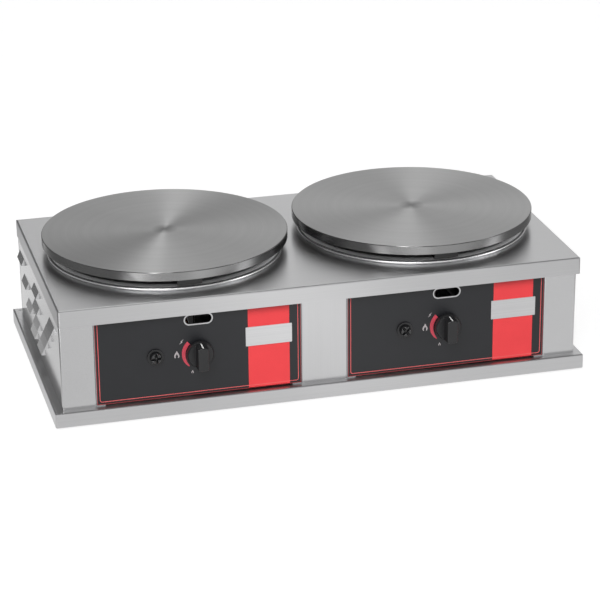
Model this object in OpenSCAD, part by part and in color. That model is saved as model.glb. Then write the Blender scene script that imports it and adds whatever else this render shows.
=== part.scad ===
// Double gas crepe maker: two round cast-iron griddle plates over star burners, in a folded
// stainless casing on a plinth. Millimetres, +Z up, front towards -Y, origin under the middle.

/* [Casing] */
// Width of the deck
deck_w = 850; // [840:1:960]
// Depth of the deck
deck_d = 436; // [430:1:520]
// Height of the deck above the bench
deck_z = 198; // [194:1:240]
// Height of the lip folded down round the deck
lip_h = 28; // [20:1:30]
// Thickness of the casing sheet
sheet = 1.5; // [1:0.1:2]
// Clearance between the lip and the walls inside it
wall_gap = 0.5; // [0.3:0.1:0.9]
// Outside bend radius of the folded sheet
bend_r = 3; // [2.4:0.1:3.4]
// Setback of the front face behind the front edge of the deck
front_setback = 12; // [8:1:16]

/* [Plinth] */
// Ledge of the plinth beyond the deck on the left and right
ledge_side = 11; // [8:1:20]
// Ledge of the plinth beyond the deck at the rear
ledge_rear = 24; // [20:1:34]
// Height of the plinth skirt
plinth_h = 23.5; // [18:0.5:30]
// Drop of the feet below the skirt
foot_drop = 4; // [2:0.5:10]
// Radius of a rubber foot at its top
foot_r = 15; // [12:0.5:18]
// Distance of the feet from the edges of the plinth
foot_inset = 46; // [40:1:60]
// Radius of the bench fixing holes in the rear ledge
fixing_r = 3; // [2:0.1:4]
// Distance of the fixing holes from the side and rear edges of the plinth
fixing_inset = 11; // [10:0.5:13]

/* [Front] */
// Width of an end pillar
end_pillar_w = 54.5; // [46:0.5:60]
// Width of the centre pillar
centre_pillar_w = 76; // [66:0.5:84]
// Thickness of a control panel
panel_t = 1.5; // [1:0.1:2]
// Thickness of the printed film on a control panel
film_t = 0.5; // [0.4:0.1:0.8]
// Gap at the sides of a control panel
panel_gap = 0.5; // [0.3:0.1:0.9]
// Gap between a control panel and the ledge below it
panel_rise = 2.5; // [1:0.5:6]
// Width of the flanges that carry the control panels
flange_w = 14; // [11:0.5:16]
// Length of the view port in the steel
port_w = 42.5; // [36:0.5:50]
// Height of the view port in the steel
port_h = 14.5; // [12:0.5:17]
// Steel rim left round the view port by the film
port_rim = 2.2; // [1:0.1:3]
// Distance of the view port's centre below the deck lip
port_drop = 13; // [11:0.5:17]
// Length of the bare badge plate
badge_w = 75; // [60:1:80]
// Height of the bare badge plate
badge_h = 32; // [24:1:34]
// Thickness of the badge plate
badge_t = 1; // [0.6:0.1:1.5]
// Distance of the badge plate to the right of the knob axis
badge_dx = 112.5; // [100:0.5:118]
// Distance of the badge plate above the knob axis
badge_dz = 17.5; // [10:0.5:26]

/* [Louvres] */
// Rows of louvres on each side wall
louvre_rows = 4; // [2:1:4]
// Length of a louvre
louvre_len = 48; // [42:1:50]
// Height of a louvre hood
louvre_h = 12; // [10:0.5:14]
// Reach of a louvre's lip from the wall
louvre_out = 5.5; // [4:0.5:6.5]
// Slant of a louvre's cheeks over the reach of its lip
louvre_cheek = 1; // [0.5:0.5:3]
// Distance between rows
louvre_pitch = 28; // [25:0.5:29]
// Distance of the lips of the top row below the deck
louvre_drop = 60.5; // [58:0.5:64]
// Distance from the pattern's middle to the outer louvres of the top row
louvre_spread = 157; // [150:1:160]
// Step towards the middle from each row to the next
louvre_step = 40.5; // [38:0.5:42]
// Distance of the pattern's middle behind the front edge of the deck
louvre_y = 238; // [230:1:242]

/* [Griddle plates] */
// Radius of a griddle plate
plate_r = 200; // [194:0.5:205]
// Thickness of a griddle plate
plate_t = 15; // [12:0.5:22]
// Distance between the centres of the griddle plates
plate_pitch = 420; // [414:1:440]
// Distance of the plate centres behind the front edge of the deck
plate_y = 228; // [222:1:240]
// Chamfer round the top of a plate
plate_chamfer = 1; // [0.5:0.1:2]
// Width of a support lug
lug_w = 40; // [30:1:50]
// Height of a support lug
lug_h = 10; // [7:0.5:14]
// Inset of a lug from the rim of its plate
lug_inset = 8; // [4:0.5:10]
// Depth of the tab that centres a lug inside the collar
tab_drop = 5; // [3:0.5:6]
// Clearance between the centring tabs and the collar
tab_gap = 1.5; // [1:0.1:3]

/* [Plate collars] */
// Outside radius of a collar
collar_r = 193; // [191:0.5:196]
// Height of a collar above the deck
collar_h = 9; // [6:0.5:12]
// Thickness of the collar sheet
collar_t = 1.2; // [0.8:0.1:1.5]
// Radius of the bead round a collar
bead_r = 2.8; // [2:0.1:3.2]
// Outside radius of the skirt inside the deck opening
skirt_r = 171; // [168:0.5:174]
// Depth of the skirt below the deck
skirt_drop = 6; // [4:0.5:6]
// Clearance of the skirt in the deck opening
skirt_gap = 0.5; // [0.3:0.1:0.9]

/* [Burners] */
// Arms of a star burner
arm_count = 8; // [6:2:10]
// Radius of a burner arm
arm_r = 9; // [7:0.5:10]
// Reach of the arms from the burner centre
arm_reach = 130; // [115:1:140]
// Flame ports in a row on each arm
port_count = 8; // [4:1:10]
// Radius of a flame port
flame_r = 1.5; // [1:0.1:2]
// Distance of the arm axes below the griddle plate
flame_gap = 42; // [40:1:46]
// Radius of the burner hub
hub_r = 32; // [28:1:34]
// Distance of the mixer tube's axis below the arm axes
mixer_drop = 43; // [40:0.5:46]
// Length of a mixer tube
mixer_len = 64; // [56:1:66]
// Outside radius of a mixer tube at its air windows
mixer_r = 21; // [18:0.5:23]
// Wall of a mixer tube
mixer_wall = 4; // [3:0.1:5]
// Thickness of a burner stand
stand_t = 2; // [1.5:0.1:3]

/* [Gas train] */
// Height of the knob axes above the plinth ledge
knob_rise = 73.5; // [70:0.5:80]
// Distance of the gas rail's axis below the knob axes
rail_drop = 32; // [30:0.5:34]
// Distance of the gas rail's axis behind the front face
rail_back = 34; // [30:0.5:38]
// Radius of the gas rail and the inlet pipe
rail_r = 10.5; // [9:0.1:11]
// Distance of the gas inlet from the right edge of the deck
inlet_side = 135; // [125:1:141]
// Radius of the gas inlet thread
inlet_r = 10.48; // [9:0.01:12]
// Reach of the gas inlet behind the back panel
inlet_reach = 40; // [34:1:50]
// Wall of the gas rail, the inlet pipe and the gas inlet
tube_wall = 2.6; // [2:0.1:3.2]
// Radius of a tap pipe
pipe_r = 4; // [3:0.1:5]
// Radius of the gas ways in a tap
way_r = 2.5; // [2:0.1:3]
// Radius of the low-flame port in a tap's plug
bleed_r = 0.8; // [0.5:0.1:1.2]

/* [Taps and knobs] */
// Radius of a tap body
tap_r = 13; // [12:0.1:15]
// Radius of the turning plug in a tap
plug_r = 9; // [8:0.1:9.5]
// Radius of a tap spindle
spindle_r = 4; // [3.5:0.1:4.5]
// Running clearance of the plug and the spindle
run_gap = 0.05; // [0.03:0.01:0.08]
// Travel of a knob when it is pushed in
push_travel = 4; // [3:0.5:4.5]
// Radius of a knob
knob_r = 21.5; // [19:0.5:24]
// Length of a knob
knob_len = 29; // [24:0.5:32]
// Length of the round skirt of a knob
knob_skirt = 9; // [7:0.5:12]
// Width of the grip bar of a knob
bar_w = 17; // [12:0.5:18]
// Taper of the grip bar's ends from the skirt to the front
bar_taper = 2; // [1:0.5:6]
// Chamfer along the front edges of the grip bar
bar_chamfer = 1; // [0.5:0.1:2]

/* [Igniters] */
// Distance of an igniter to the left of the knob axis
igniter_dx = 70; // [56:0.5:76]
// Radius of the igniter's bezel
bezel_r = 13.4; // [12.2:0.1:15]
// Radius of the igniter's barrel
barrel_r = 11; // [10.6:0.1:11.5]
// Radius of the igniter button
button_r = 9; // [8:0.1:9.4]
// Reach of the button in front of the bezel
button_out = 8; // [7:0.5:11]
// Travel of the button
button_travel = 5; // [4:0.5:6]
// Clearance round the button
button_gap = 0.3; // [0.2:0.05:0.4]

/* [Hidden] */
$fn = 64;
left = -1;
right = 1;
over = 1;

// Frame: Y is zero halfway between the front of the knobs and the end of the gas inlet
knob_gap = push_travel + 1;
back_outer = deck_d - sheet - wall_gap;
knob_front = front_setback - knob_gap - knob_len;
inlet_end = back_outer + inlet_reach;
deck_front = -(knob_front + inlet_end) / 2;
function y_at(from_deck_front) = deck_front + from_deck_front;

// Casing faces
ledge_z = foot_drop + plinth_h;
floor_z = ledge_z - sheet;
under_deck = deck_z - sheet;
wall_x = deck_w / 2 - sheet - wall_gap;
top_gap = 0.1;
bend_in = bend_r - sheet;
corner_drop = bend_in > wall_gap ? bend_in - sqrt(bend_in ^ 2 - (bend_in - wall_gap) ^ 2) : 0;
wall_top = under_deck - corner_drop - top_gap;
front_y = y_at(front_setback);
back_y = y_at(back_outer);
wall_rear = back_y - sheet;
plinth_w = deck_w + 2 * ledge_side;
plinth_d = deck_d + ledge_rear;
rear_flange_w = 25;
rear_screw_up = 30;
rear_screw_down = 20;
screw_r = 2;
screw_head_r = 4;
screw_head_h = 2.5;
screw_gap = 0.1;

// Front bays
joggle = panel_t + film_t;
bay_w = wall_x - end_pillar_w - centre_pillar_w / 2;
bay_x = centre_pillar_w / 2 + bay_w / 2;
panel_w = bay_w - 2 * panel_gap;
panel_low = ledge_z + panel_rise;
panel_high = under_deck - panel_rise;
panel_back = front_y + joggle;
knob_z = ledge_z + knob_rise;
port_z = deck_z - lip_h - port_drop;
spindle_hole_r = spindle_r + 3;
barrel_gap = 0.3;

// Griddle plate stack
plate_x = plate_pitch / 2;
plate_cy = y_at(plate_y);
collar_top = deck_z + collar_h;
plate_low = collar_top + lug_h;
collar_rim_r = collar_r - collar_h;
skirt_in = skirt_r - collar_t;
tab_t = 8;
opening_r = skirt_r + skirt_gap;
lug_count = 3;

// Burner stack
arm_z = plate_low - flame_gap;
arm_wall = 2.5;
arm_root = hub_r - 4;
hub_wall = 5;
hub_cap = 2;
hub_top = arm_z + arm_r + 1;
mixer_z = arm_z - mixer_drop;
flange_r = 22;
boss_r = flange_r - 2;
hub_low = mixer_z - flange_r;
mixer_rear = plate_cy - hub_r - 2;
mixer_front = mixer_rear - mixer_len;
mixer_disc = 8;
mixer_bore = 13;
injector_r = 6;
injector_gap = 0.1;
hex_len = 10;
port_margin = 8;
ear_angle = 225;
ear_reach = 82;
ear_w = 30;
ear_t = 3;
ear_drop = 25;
ear_z = arm_z - ear_drop;
rod_reach = 72;
rod_side = 8;
rod_gap = 0.1;
electrode_r = 3.5;
probe_r = 3;
rod_under = 12;
rod_over = 4;
rod_low = ear_z - rod_under;
rod_tip = arm_z + arm_r + rod_over;
stand_half = hub_r + 9;
stand_w = 40;
stand_foot = 20;

// Gas train
rail_y = front_y + rail_back;
rail_z = knob_z - rail_drop;
rail_boss = 3;
tee_len = rail_r + 6;
tap_len = 52;
outlet_len = 8;
outlet_r = tap_r - 4;
tap_rear = panel_back + tap_len;
tap_outlet = tap_rear + outlet_len;
bonnet_t = 6;
tap_front = panel_back + bonnet_t;
cavity_len = 34;
end_gap = 0.3;
plug_front = tap_front + end_gap;
plug_len = cavity_len - 2 * end_gap;
tongue_w = 5.6;
tongue_t = 2.2;
tongue_gap = 0.2;
bore_gap = 0.3;
tongue_len = 11;
spindle_round = tap_front + 2;
plug_bore_len = spindle_round - plug_front + push_travel + 1;
slot_len = tongue_len;
core_r = way_r + 0.5;
full_turn = 90;
low_turn = 160;
knob_back = front_y - knob_gap;
knob_bore_len = 20;
thermo_r = 5;
thermo_x = tap_r + 7;
thermo_y = tap_rear - 8;
inlet_x = deck_w / 2 - inlet_side;
inlet_hex = 22;
inlet_nut_t = 8;
inlet_gap = 0.1;
inlet_hex_r = inlet_r + 6;
inlet_groove = 1;
rail_bore = rail_r - tube_wall;
tee_bore = rail_bore - 1;

// Igniter
bezel_h = 3;
button_len = 37;
bore_len = button_len - button_out + button_travel + 2;
barrel_len = bore_len + 8;
nut_t = 6;
nut_wall = 5;
terminal_r = 3;
terminal_len = 4;

// Lead and capillary: radius, bend, straight start and level of the run to the burner's ear
lead_r = 2;
lead_bend = 10;
lead_start = 22;
lead_z = knob_z + 10;
capillary_r = 1.5;
capillary_start = 16;
capillary_z = knob_z - 4;

// Centre of a station, and of its control panel
function station_x(side) = side * plate_x;
function panel_x(side) = side * bay_x;

// Place on the burner's ear of a rod that stands to one side of the ear's middle
function rod_xy(side, shift) = [
    station_x(side) + rod_reach * cos(ear_angle) - shift * sin(ear_angle),
    plate_cy + rod_reach * sin(ear_angle) + shift * cos(ear_angle)
];

// Cylinder that runs from a point towards +Y
module along_y(at, r, h, sides = 64) {
    translate(at) rotate([-90, 0, 0]) cylinder(r = r, h = h, $fn = sides);
}

module rounded_rect(w, d, r) {
    square([w - 2 * r, d], center = true);
    square([w, d - 2 * r], center = true);
    for (x = [-1, 1], y = [-1, 1])
        translate([x * (w / 2 - r), y * (d / 2 - r)]) circle(r);
}

// Slot with round ends, along X
module slot(w, h) {
    square([w - h, h], center = true);
    for (x = [-1, 1]) translate([x * (w - h) / 2, 0]) circle(d = h);
}

// Section of a folded tray: flat bottom, round top corners
module tray_section(w, h, r) {
    translate([-w / 2, 0]) square([w, h - r]);
    translate([-w / 2 + r, 0]) square([w - 2 * r, h]);
    for (x = [-1, 1]) translate([x * (w / 2 - r), h - r]) circle(r);
}

// Block with round upright edges and round top edges, standing on z = 0
module tray_block(w, d, h, r) {
    intersection() {
        linear_extrude(h) rounded_rect(w, d, r);
        translate([0, d / 2, 0]) rotate([90, 0, 0]) linear_extrude(d) tray_section(w, h, r);
        translate([-w / 2, 0, 0]) rotate([90, 0, 90]) linear_extrude(w) tray_section(d, h, r);
    }
}

// Inverted tray of sheet, with its top face at z = h
module tray(w, d, h) {
    difference() {
        tray_block(w, d, h, bend_r);
        translate([0, 0, -over])
            tray_block(w - 2 * sheet, d - 2 * sheet, h - sheet + over, bend_r - sheet);
    }
}

function unit(v) = v / norm(v);

// Points and directions along straight runs with a round bend between each two
function bend_path(points, bend, steps) = [
    [points[0], unit(points[1] - points[0])],
    for (i = [1 : 1 : len(points) - 2])
        let (
            u = unit(points[i] - points[i - 1]),
            v = unit(points[i + 1] - points[i]),
            turn = acos(u * v),
            inward = unit(v - (u * v) * u),
            centre = points[i] - bend * tan(turn / 2) * u + bend * inward
        )
        for (a = [for (k = [0 : steps]) turn * k / steps])
            [centre + bend * (sin(a) * u - cos(a) * inward), cos(a) * u + sin(a) * inward],
    [points[len(points) - 1], unit(points[len(points) - 1] - points[len(points) - 2])]
];

// Direction across the path at each of its points, carried along without twist
function path_sides(path) = [
    for (i = 0, n = unit(cross(path[0][1], [0.3, 0.5, 0.8])); i < len(path);
        i = i + 1, n = i < len(path) ? unit(n - (n * path[i][1]) * path[i][1]) : n) n
];

// Tube swept along a bent route
module bent_tube(points, r, bend, sides = 10, steps = 4) {
    path = bend_path(points, bend, steps);
    across = path_sides(path);
    last = len(path) - 1;
    rim = [for (i = [0 : last], j = [0 : sides - 1])
        let (a = 360 * j / sides, up = cross(path[i][1], across[i]))
        path[i][0] + r * (cos(a) * across[i] + sin(a) * up)];
    skin = [for (i = [0 : last - 1], j = [0 : sides - 1])
        let (a = i * sides + j, b = i * sides + (j + 1) % sides)
        each [[a, b + sides, b], [a, a + sides, b + sides]]];
    polyhedron(rim, concat(
        [[for (j = [0 : sides - 1]) j]],
        [[for (j = [sides - 1 : -1 : 0]) last * sides + j]],
        skin
    ));
}

// Plinth: inverted tray with air slots behind each burner and two fixing holes in the rear ledge
module base_plinth() {
    air_rows = 6;
    air_pitch = 16;
    air_from = 75;
    air_w = 90;
    air_h = 8;
    color("gainsboro") difference() {
        translate([0, y_at(plinth_d / 2), foot_drop]) tray(plinth_w, plinth_d, plinth_h);
        for (side = [left, right]) {
            for (i = [0 : air_rows - 1])
                translate([station_x(side), plate_cy + air_from + air_pitch * i, floor_z - over])
                    linear_extrude(sheet + 2 * over) slot(air_w, air_h);
            translate([side * (plinth_w / 2 - fixing_inset), y_at(plinth_d - fixing_inset), floor_z])
                cylinder(r = fixing_r, h = 4 * sheet, center = true);
        }
        for (x = [left, right], y = [0, 1])
            translate(concat(foot_xy(x, y), floor_z - over))
                cylinder(r = screw_r + screw_gap, h = sheet + 2 * over);
    }
}

function foot_xy(side, rear) = [
    side * (plinth_w / 2 - foot_inset),
    y_at(rear * plinth_d + (1 - 2 * rear) * foot_inset)
];

// Rubber foot with a counterbored hole for its screw
module foot(side, rear) {
    bore_h = floor_z / 2;
    color("dimgray") translate(concat(foot_xy(side, rear), 0)) difference() {
        cylinder(r1 = foot_r - 2, r2 = foot_r, h = floor_z);
        translate([0, 0, -over]) cylinder(r = screw_head_r + 1, h = bore_h + over);
        translate([0, 0, bore_h - over]) cylinder(r = screw_r + screw_gap, h = floor_z);
    }
}

// Screw and nut of each foot
module foot_screws() {
    bore_h = floor_z / 2;
    nut_h = 3;
    tail = 2;
    color("silver") for (side = [left, right], rear = [0, 1])
        translate(concat(foot_xy(side, rear), 0)) {
            translate([0, 0, bore_h - screw_head_h]) cylinder(r = screw_head_r, h = screw_head_h);
            translate([0, 0, bore_h - screw_head_h])
                cylinder(r = screw_r, h = ledge_z + nut_h + tail - bore_h + screw_head_h);
            translate([0, 0, ledge_z]) cylinder(r = screw_head_r, h = nut_h, $fn = 6);
        }
}

// Folded strip of a side wall seen from above: wall, end pillar, panel flange and rear flange
module side_section() {
    depth = wall_rear - front_y;
    inner_x = wall_x - end_pillar_w;
    difference() {
        translate([wall_x - end_pillar_w / 2, front_y + depth / 2])
            rounded_rect(end_pillar_w, depth, bend_r);
        translate([wall_x - end_pillar_w / 2, front_y + depth / 2])
            rounded_rect(end_pillar_w - 2 * sheet, depth - 2 * sheet, bend_r - sheet);
        translate([inner_x - over, panel_back + sheet])
            square([end_pillar_w - rear_flange_w + over, depth]);
    }
    translate([inner_x - flange_w, panel_back]) square([flange_w + sheet, sheet]);
}

// Pressed louvre: a sloping hood with slanted cheeks, open at the bottom, on the wall's face at x = 0
louvre_skin = sheet * norm([louvre_h, louvre_out]) / louvre_h;
cheek_skin = sheet * norm([louvre_out, louvre_cheek]) / louvre_out;

// Solid under the hood's planes: reach of the lip, half length at the wall, start behind the wall's face
module louvre_form(reach, half, start) {
    rise = (reach + start) * louvre_h / louvre_out;
    slant = louvre_cheek / louvre_out;
    wide = half + start * slant;
    narrow = half - reach * slant;
    intersection() {
        translate([0, wide, 0]) rotate([90, 0, 0]) linear_extrude(2 * wide)
            polygon([[-start, 0], [reach, 0], [-start, rise]]);
        linear_extrude(rise) polygon([[-start, -wide], [reach, -narrow], [reach, narrow], [-start, wide]]);
    }
}

// Places of the louvres: the outer columns close in on the middle one row by row
function louvre_shift(row) = louvre_spread - row * louvre_step;
louvre_sites = [
    for (row = [0 : louvre_rows - 1])
        for (column = [-1, 0, 1])
            if (column != 0 || louvre_shift(row) > louvre_len)
                [column * louvre_shift(row), -row * louvre_pitch]
];

module each_louvre() {
    for (site = louvre_sites)
        translate([wall_x, y_at(louvre_y) + site[0], deck_z - louvre_drop + site[1]]) children();
}

rear_screw_z = [ledge_z + rear_screw_up, deck_z - lip_h - rear_screw_down];

module rear_screw_holes() {
    for (side = [left, right], z = rear_screw_z)
        along_y([side * (wall_x - rear_flange_w / 2), wall_rear - 2 * sheet, z],
            screw_r + screw_gap, 4 * sheet);
}

// Side wall with pressed louvres that open downwards
module side_panel(side) {
    color("lightgray") mirror([side == left ? 1 : 0, 0, 0]) difference() {
        union() {
            translate([0, 0, ledge_z]) linear_extrude(wall_top - ledge_z) side_section();
            each_louvre() louvre_form(louvre_out, louvre_len / 2, sheet / 2);
        }
        each_louvre()
            louvre_form(louvre_out - louvre_skin, louvre_len / 2 - cheek_skin, sheet + over);
        rear_screw_holes();
    }
}

// Back panel with a row of vent slots behind each burner and the hole for the gas inlet
module back_panel() {
    vent_n = 9;
    vent_pitch = 18;
    vent_z = knob_z + 18;
    vent_len = 50;
    vent_w = 7;
    color("lightgray") difference() {
        translate([-wall_x, wall_rear, ledge_z]) cube([2 * wall_x, sheet, wall_top - ledge_z]);
        for (side = [left, right], i = [0 : vent_n - 1])
            translate([station_x(side) + vent_pitch * (i - (vent_n - 1) / 2), back_y + over, vent_z])
                rotate([90, 0, 0]) linear_extrude(sheet + 2 * over) rotate(90) slot(vent_len, vent_w);
        along_y([inlet_x, wall_rear - over, rail_z], inlet_r + inlet_gap, sheet + 2 * over);
        rear_screw_holes();
    }
}

module back_panel_screws() {
    color("silver") for (side = [left, right], z = rear_screw_z) {
        at_x = side * (wall_x - rear_flange_w / 2);
        along_y([at_x, back_y, z], screw_head_r, screw_head_h);
        along_y([at_x, wall_rear - 2 * sheet, z], screw_r, 3 * sheet + screw_head_h);
    }
}

// Pillar between the control panels: a shallow channel with a flange behind each panel
module centre_pillar() {
    half = centre_pillar_w / 2;
    depth = joggle + sheet;
    color("lightgray") translate([0, 0, ledge_z]) linear_extrude(under_deck - ledge_z) {
        difference() {
            translate([0, front_y + depth]) rounded_rect(centre_pillar_w, 2 * depth, bend_r);
            translate([0, front_y + depth])
                rounded_rect(centre_pillar_w - 2 * sheet, 2 * depth - 2 * sheet, bend_r - sheet);
            translate([-half - over, front_y + depth]) square([centre_pillar_w + 2 * over, 2 * depth]);
        }
        for (side = [left, right])
            translate([side * (half + flange_w / 2 - sheet / 2), panel_back + sheet / 2])
                square([flange_w + sheet, sheet], center = true);
    }
}

// Deck: folded tray with a round opening over each burner
module deck_cover() {
    color("gainsboro") difference() {
        translate([0, y_at(deck_d / 2), deck_z - lip_h]) tray(deck_w, deck_d, lip_h);
        for (side = [left, right])
            translate([station_x(side), plate_cy, under_deck - over])
                cylinder(r = opening_r, h = sheet + 2 * over, $fn = 128);
    }
}

// Sheet that fills a front bay, with holes for the spindle, the igniter and the view port
module bay_sheet(side, thick, hole_r, rim) {
    difference() {
        translate([panel_x(side) - panel_w / 2, 0, panel_low])
            cube([panel_w, thick, panel_high - panel_low]);
        along_y([panel_x(side), -over, knob_z], hole_r, thick + 2 * over);
        along_y([panel_x(side) - igniter_dx, -over, knob_z], barrel_r + barrel_gap, thick + 2 * over);
        translate([panel_x(side), thick + over, port_z]) rotate([90, 0, 0])
            linear_extrude(thick + 2 * over) slot(port_w + 2 * rim, port_h + 2 * rim);
    }
}

module control_panel(side) {
    color("silver") translate([0, front_y + film_t, 0]) bay_sheet(side, panel_t, spindle_hole_r, 0);
}

module panel_film(side) {
    color("darkslategray") translate([0, front_y, 0])
        bay_sheet(side, film_t, spindle_hole_r + 1, port_rim);
}

module badge_plate(side) {
    color("whitesmoke") translate([panel_x(side) + badge_dx, front_y, knob_z + badge_dz])
        rotate([90, 0, 0]) linear_extrude(badge_t) rounded_rect(badge_w, badge_h, 1);
}

// Spun collar: bead on the deck, flared side, flat rim for the lugs and a skirt in the opening
module plate_collar(side) {
    color("silver") translate([station_x(side), plate_cy, deck_z]) rotate_extrude($fn = 128) {
        intersection() {
            translate([collar_r - bead_r, bead_r - 0.2]) circle(bead_r);
            translate([collar_rim_r, 0]) square([2 * collar_h, collar_h]);
        }
        polygon([
            [collar_r - 2 * bead_r, 0], [collar_r - bead_r, bead_r],
            [collar_rim_r, collar_h], [collar_rim_r - collar_t, collar_h - collar_t]
        ]);
        translate([skirt_in, collar_h - collar_t]) square([collar_rim_r - skirt_in, collar_t]);
        translate([skirt_in, -skirt_drop]) square([collar_t, skirt_drop + collar_h]);
    }
}

// Cast griddle plate with support lugs, each with a tab that drops inside the collar
module griddle_plate(side) {
    lug_out = plate_r - lug_inset;
    tab_out = skirt_in - tab_gap;
    color("gray") translate([station_x(side), plate_cy, plate_low]) {
        rotate_extrude($fn = 128) polygon([
            [0, 0], [plate_r - plate_chamfer, 0], [plate_r, plate_chamfer],
            [plate_r, plate_t - plate_chamfer], [plate_r - plate_chamfer, plate_t], [0, plate_t]
        ]);
        for (i = [0 : lug_count - 1]) rotate(360 / lug_count * i - 90) {
            intersection() {
                translate([skirt_r, -lug_w / 2, -lug_h]) cube([lug_out, lug_w, lug_h + over]);
                translate([0, 0, -lug_h]) cylinder(r = lug_out, h = lug_h + over, $fn = 128);
            }
            translate([tab_out - tab_t, -lug_w / 4, -lug_h - tab_drop])
                cube([tab_t, lug_w / 2, lug_h + tab_drop + over]);
            translate([tab_out - tab_t, -lug_w / 4, -lug_h / 2])
                cube([lug_out - tab_out, lug_w / 2, lug_h / 2 + over]);
        }
    }
}

// Directions of the burner arms, with the ear between two of them
function arm_angle(i) = 360 / arm_count * (i + 0.5);

// Distance of a flame port from the burner centre
function port_at(k) =
    hub_r + port_margin + k * (arm_reach - hub_r - 2 * port_margin) / (port_count - 1);

// Star burner: hollow hub with a boss for the mixer tube, hollow arms with flame ports, ear for the rods
module burner(side) {
    color("slategray") translate([station_x(side), plate_cy, 0]) difference() {
        union() {
            translate([0, 0, hub_low]) cylinder(r = hub_r, h = hub_top - hub_low);
            along_y([0, mixer_rear - plate_cy, mixer_z], boss_r, plate_cy - mixer_rear);
            for (i = [0 : arm_count - 1])
                rotate(arm_angle(i)) translate([arm_root, 0, arm_z]) rotate([0, 90, 0])
                    cylinder(r = arm_r, h = arm_reach - arm_root);
            rotate(ear_angle) translate([0, -ear_w / 2, ear_z]) cube([ear_reach, ear_w, ear_t]);
        }
        along_y([0, mixer_rear - plate_cy - over, mixer_z], mixer_bore, plate_cy - mixer_rear + over);
        translate([0, 0, mixer_z]) cylinder(r = hub_r - hub_wall, h = hub_top - hub_cap - mixer_z);
        for (i = [0 : arm_count - 1]) rotate(arm_angle(i)) {
            translate([hub_r - 2 * hub_wall, 0, arm_z]) rotate([0, 90, 0])
                cylinder(r = arm_r - arm_wall, h = arm_reach - arm_wall - hub_r + 2 * hub_wall);
            for (k = [0 : port_count - 1])
                translate([port_at(k), 0, arm_z]) cylinder(r = flame_r, h = arm_r + over, $fn = 32);
        }
        rotate(ear_angle) for (rod = [[rod_side, electrode_r], [-rod_side, probe_r]])
            translate([rod_reach, rod[0], ear_z - over])
                cylinder(r = rod[1] + rod_gap, h = ear_t + 2 * over);
    }
}

// Mixer tube: injector disc, air windows, throat and flared outlet with a flange
module mixer_tube(side) {
    chamber = mixer_r - mixer_wall;
    throat = chamber / 2;
    window = 20;
    lip = 4;
    neck = mixer_len - window - mixer_disc - lip;
    color("dimgray") translate([station_x(side), mixer_front, mixer_z]) difference() {
        rotate([-90, 0, 0]) rotate_extrude() polygon([
            [injector_r, 0], [mixer_r, 0], [mixer_r, mixer_disc + window + lip],
            [throat + mixer_wall, mixer_disc + window + neck / 2],
            [mixer_bore + mixer_wall, mixer_len - lip], [flange_r, mixer_len - lip], [flange_r, mixer_len],
            [mixer_bore, mixer_len], [throat, mixer_disc + window + neck / 2],
            [chamber, mixer_disc + window + lip], [chamber, mixer_disc], [injector_r, mixer_disc]
        ]);
        translate([-2 * mixer_r, mixer_disc + lip, -chamber / 2])
            cube([4 * mixer_r, window - lip, chamber]);
    }
}

// Brass injector: hexagon, thread in the mixer's disc and a nozzle with its jet
module injector(side) {
    hex_r = 8;
    nozzle = 8;
    tip_r = 3;
    jet_r = 0.8;
    color("goldenrod") translate([station_x(side), mixer_front, mixer_z]) difference() {
        union() {
            along_y([0, -hex_len, 0], hex_r, hex_len, 6);
            along_y([0, -over, 0], injector_r - injector_gap, mixer_disc + over);
            translate([0, mixer_disc, 0]) rotate([-90, 0, 0])
                cylinder(r1 = injector_r - 1, r2 = tip_r, h = nozzle);
        }
        along_y([0, mixer_disc, 0], jet_r, nozzle + over);
    }
}

// Bridge of folded strip that carries the burner hub
module burner_stand(side) {
    color("darkgray") translate([station_x(side), plate_cy - stand_w / 2, 0]) {
        translate([-stand_half, 0, hub_low - stand_t]) cube([2 * stand_half, stand_w, stand_t]);
        for (end = [-1, 1]) {
            translate([end * stand_half - (end > 0 ? stand_t : 0), 0, ledge_z])
                cube([stand_t, stand_w, hub_low - ledge_z]);
            translate([end * stand_half - (end > 0 ? stand_t : stand_foot), 0, ledge_z])
                cube([stand_foot + stand_t, stand_w, stand_t]);
        }
    }
}

// Tap body: barrel with a cavity for the plug, inlet stub, outlet hexagon, thermocouple boss
module gas_tap(side) {
    color("goldenrod") translate([panel_x(side), 0, knob_z]) difference() {
        union() {
            along_y([0, tap_front, 0], tap_r, tap_rear - tap_front);
            along_y([0, tap_rear - over, 0], outlet_r, outlet_len + over, 6);
            translate([0, rail_y, rail_z + rail_r + rail_boss - knob_z])
                cylinder(r = rail_r - 2, h = rail_drop - rail_r - rail_boss);
            translate([-thermo_x, thermo_y, 0]) rotate([0, 90, 0]) cylinder(r = thermo_r, h = thermo_x);
        }
        along_y([0, tap_front - over, 0], plug_r + run_gap, cavity_len + over);
        along_y([0, tap_front + cavity_len - over, 0], way_r, tap_len + outlet_len);
        translate([0, rail_y, rail_z + rail_r + rail_boss - knob_z - over])
            cylinder(r = way_r, h = rail_drop - rail_r - rail_boss - plug_r / 2 + over);
    }
}

// Bonnet that closes the tap and guides its spindle
module tap_bonnet(side) {
    color("darkgoldenrod") translate([panel_x(side), panel_back, knob_z]) difference() {
        along_y([0, 0, 0], tap_r + 2, bonnet_t);
        along_y([0, -over, 0], spindle_r + run_gap, bonnet_t + 2 * over);
    }
}

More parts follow.
